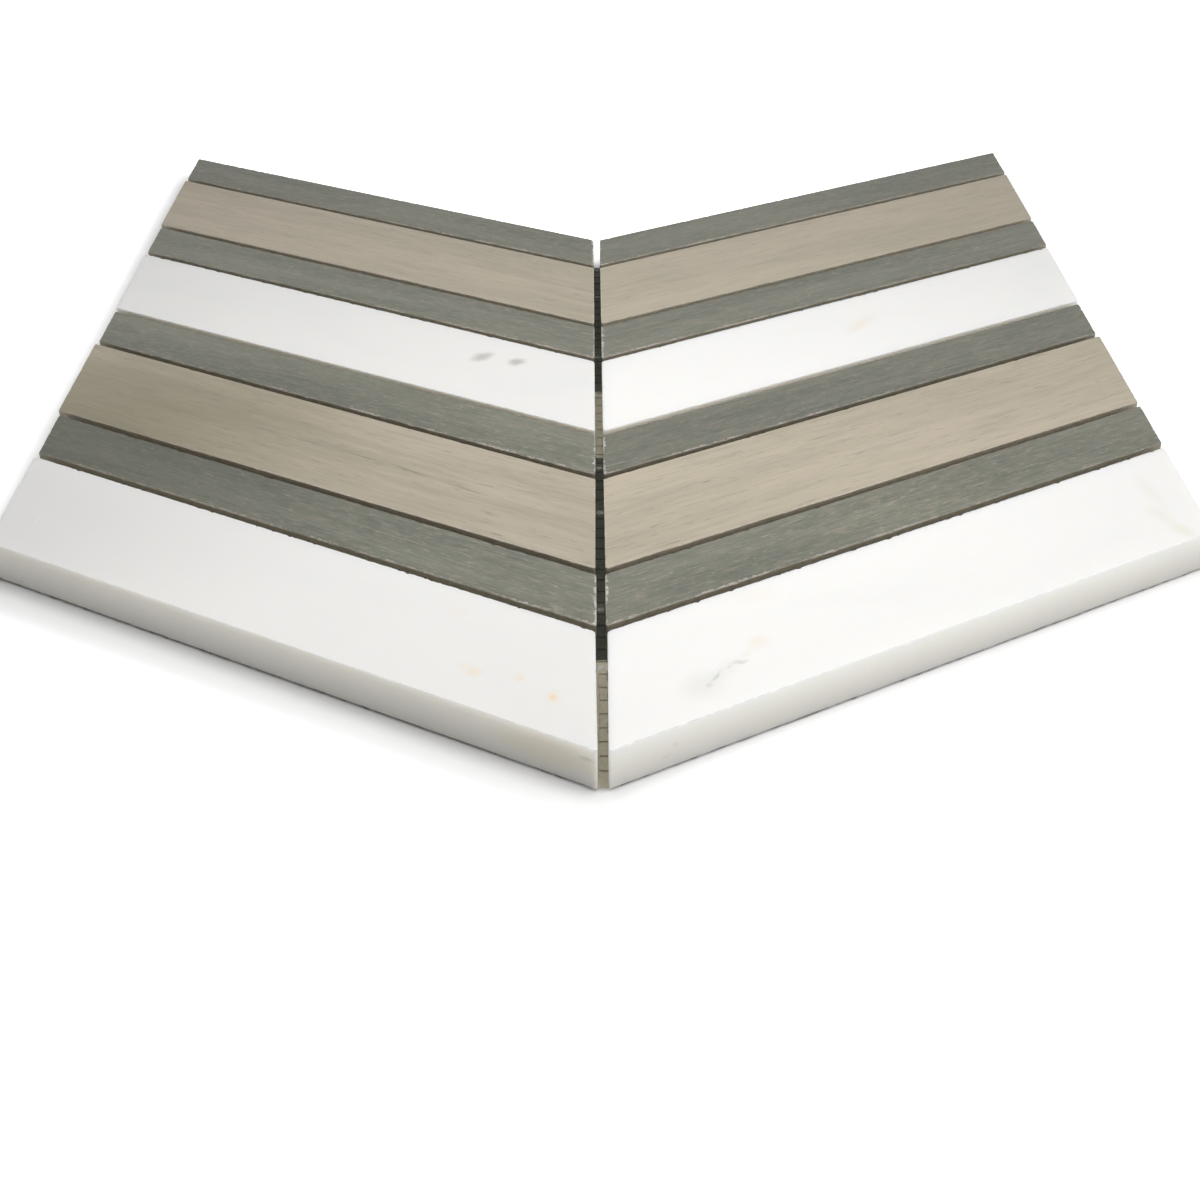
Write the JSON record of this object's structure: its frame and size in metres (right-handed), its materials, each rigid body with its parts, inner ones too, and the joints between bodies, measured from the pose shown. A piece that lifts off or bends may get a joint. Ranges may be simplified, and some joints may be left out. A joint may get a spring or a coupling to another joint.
{
  "type": "chevron mosaic tile",
  "caption": "Chevron wall tile of raked white marble, grey and taupe stone strips in two mirrored columns, bonded to a backing net and nesting end to end.",
  "frame": {"origin": "under the middle of the tile's bounding box, on the underside of the backing net", "axes": "+Z out of the tile's face, +Y along the spine joint away from the chevron's tip, +X across the tile to the right"},
  "size_m": [0.298, 0.3648, 0.0105],
  "materials": {
    "white_marble": "honed white marble with faint grey veins and rust specks",
    "grey_stone": "honed dark grey stone with fine lengthwise grain",
    "taupe_stone": "honed taupe stone with fine lengthwise grain",
    "net": "open fibre net set in beige adhesive"
  },
  "bodies": {
    "root": {"backing_net": "net", "white_strip_left_1": "white_marble", "white_strip_left_2": "white_marble", "grey_strip_left_1": "grey_stone", "grey_strip_left_2": "grey_stone", "grey_strip_left_3": "grey_stone", "grey_strip_left_4": "grey_stone", "taupe_strip_left_1": "taupe_stone", "taupe_strip_left_2": "taupe_stone", "white_strip_right_1": "white_marble", "white_strip_right_2": "white_marble", "grey_strip_right_1": "grey_stone", "grey_strip_right_2": "grey_stone", "grey_strip_right_3": "grey_stone", "grey_strip_right_4": "grey_stone", "taupe_strip_right_1": "taupe_stone", "taupe_strip_right_2": "taupe_stone"}
  },
  "joints": []
}
